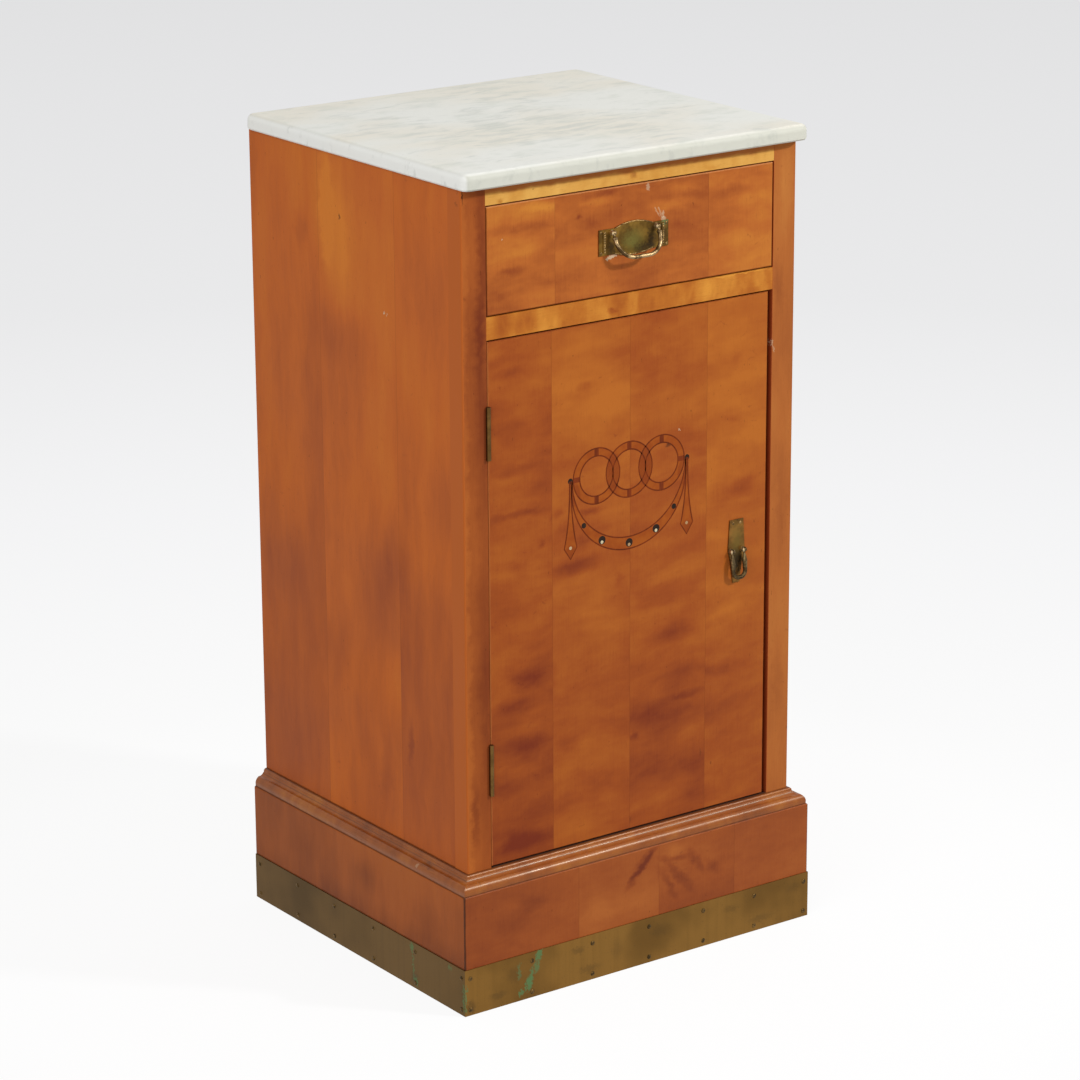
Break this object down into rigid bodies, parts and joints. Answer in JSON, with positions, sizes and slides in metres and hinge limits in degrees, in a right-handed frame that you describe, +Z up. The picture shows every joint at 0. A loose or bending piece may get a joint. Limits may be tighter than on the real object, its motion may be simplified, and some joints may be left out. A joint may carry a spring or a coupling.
{
  "type": "bedside pot cupboard",
  "caption": "Bedside pot cupboard with a marble top, a drawer over a door inlaid with linked rings and a festoon, and a plinth bound with brass.",
  "frame": {"origin": "on the floor, under the middle of the whole piece's base", "axes": "+X to the right as you face the door, front towards -Y, +Z up"},
  "size_m": [0.414, 0.367, 0.794],
  "materials": {
    "marble": "honed white marble with soft grey streaks",
    "side_veneer": "birch veneer, red-brown polish, upright figure",
    "stile_veneer": "birch veneer, red-brown polish",
    "rail_birch": "birch, golden polish",
    "front_veneer": "flame birch veneer, golden polish",
    "plinth_veneer": "birch veneer, dark red-brown polish",
    "moulding_birch": "turned-over birch moulding, satin polish",
    "softwood": "bare pine, aged",
    "band_brass": "dark patinated brass",
    "pull_brass": "patinated brass, bright on the worn edges",
    "hinge_brass": "dull brass",
    "catch_steel": "dull spring steel",
    "inlay_fill": "reddish veneer, polished with the door",
    "inlay_dark": "dark stained veneer",
    "ebony": "black, polished",
    "pearl": "mother-of-pearl"
  },
  "bodies": {
    "carcase": {"marble_top": "marble", "left_side_panel": "side_veneer", "right_side_panel": "side_veneer", "left_front_stile": "stile_veneer", "right_front_stile": "stile_veneer", "top_front_rail": "rail_birch", "top_back_rail": "softwood", "middle_rail": "rail_birch", "dust_board": "softwood", "cupboard_floor": "softwood", "back_panel": "softwood", "shelf": "softwood", "left_shelf_cleat": "softwood", "right_shelf_cleat": "softwood", "left_drawer_runner": "softwood", "right_drawer_runner": "softwood", "left_drawer_kicker": "softwood", "right_drawer_kicker": "softwood", "drawer_stops": "softwood", "door_stop": "softwood", "plinth_front": "plinth_veneer", "plinth_left": "plinth_veneer", "plinth_right": "plinth_veneer", "plinth_back": "softwood", "plinth_corner_blocks": "softwood", "moulding_front": "moulding_birch", "moulding_left": "moulding_birch", "moulding_right": "moulding_birch", "band_front": "band_brass", "band_left": "band_brass", "band_right": "band_brass", "band_nails": "band_brass", "hinge_frame_leaves": "hinge_brass", "hinge_pins": "hinge_brass", "hinge_frame_screws": "hinge_brass", "catch_clip": "catch_steel"},
    "drawer": {"drawer_front": "front_veneer", "drawer_left_side": "softwood", "drawer_right_side": "softwood", "drawer_back": "softwood", "drawer_bottom": "softwood", "drawer_pull_plate": "pull_brass", "drawer_pull_posts": "pull_brass", "drawer_pull_nails": "pull_brass"},
    "drawer_bail": {"drawer_bail": "pull_brass"},
    "door": {"door_panel": "front_veneer", "inlay_rings": "inlay_fill", "inlay_blocks": "inlay_dark", "inlay_festoon": "inlay_fill", "inlay_drops": "inlay_fill", "ebony_studs": "ebony", "pearl_studs": "pearl", "hinge_door_leaves": "hinge_brass", "hinge_door_screws": "hinge_brass", "door_pull_plate": "pull_brass", "door_pull_posts": "pull_brass", "door_pull_nails": "pull_brass", "catch_stud": "hinge_brass"},
    "door_bail": {"door_bail": "pull_brass"}
  },
  "joints": [
    {"name": "drawer_slide", "type": "slide", "parent": "carcase", "child": "drawer", "axis": [0, -1, 0], "range_m": [0, 0.24]},
    {"name": "door_hinge", "type": "hinge", "parent": "carcase", "child": "door", "pos_m": [-0.1635, -0.1685, 0.388], "axis": [0, 0, -1], "range_deg": [0, 178]},
    {"name": "drawer_bail_swing", "type": "hinge", "parent": "drawer", "child": "drawer_bail", "pos_m": [0, -0.1709, 0.7185], "axis": [-1, 0, 0], "range_deg": [0, 100]},
    {"name": "door_bail_swing", "type": "hinge", "parent": "door", "child": "door_bail", "pos_m": [0.1231, -0.1709, 0.39], "axis": [-1, 0, 0], "range_deg": [0, 100]}
  ]
}
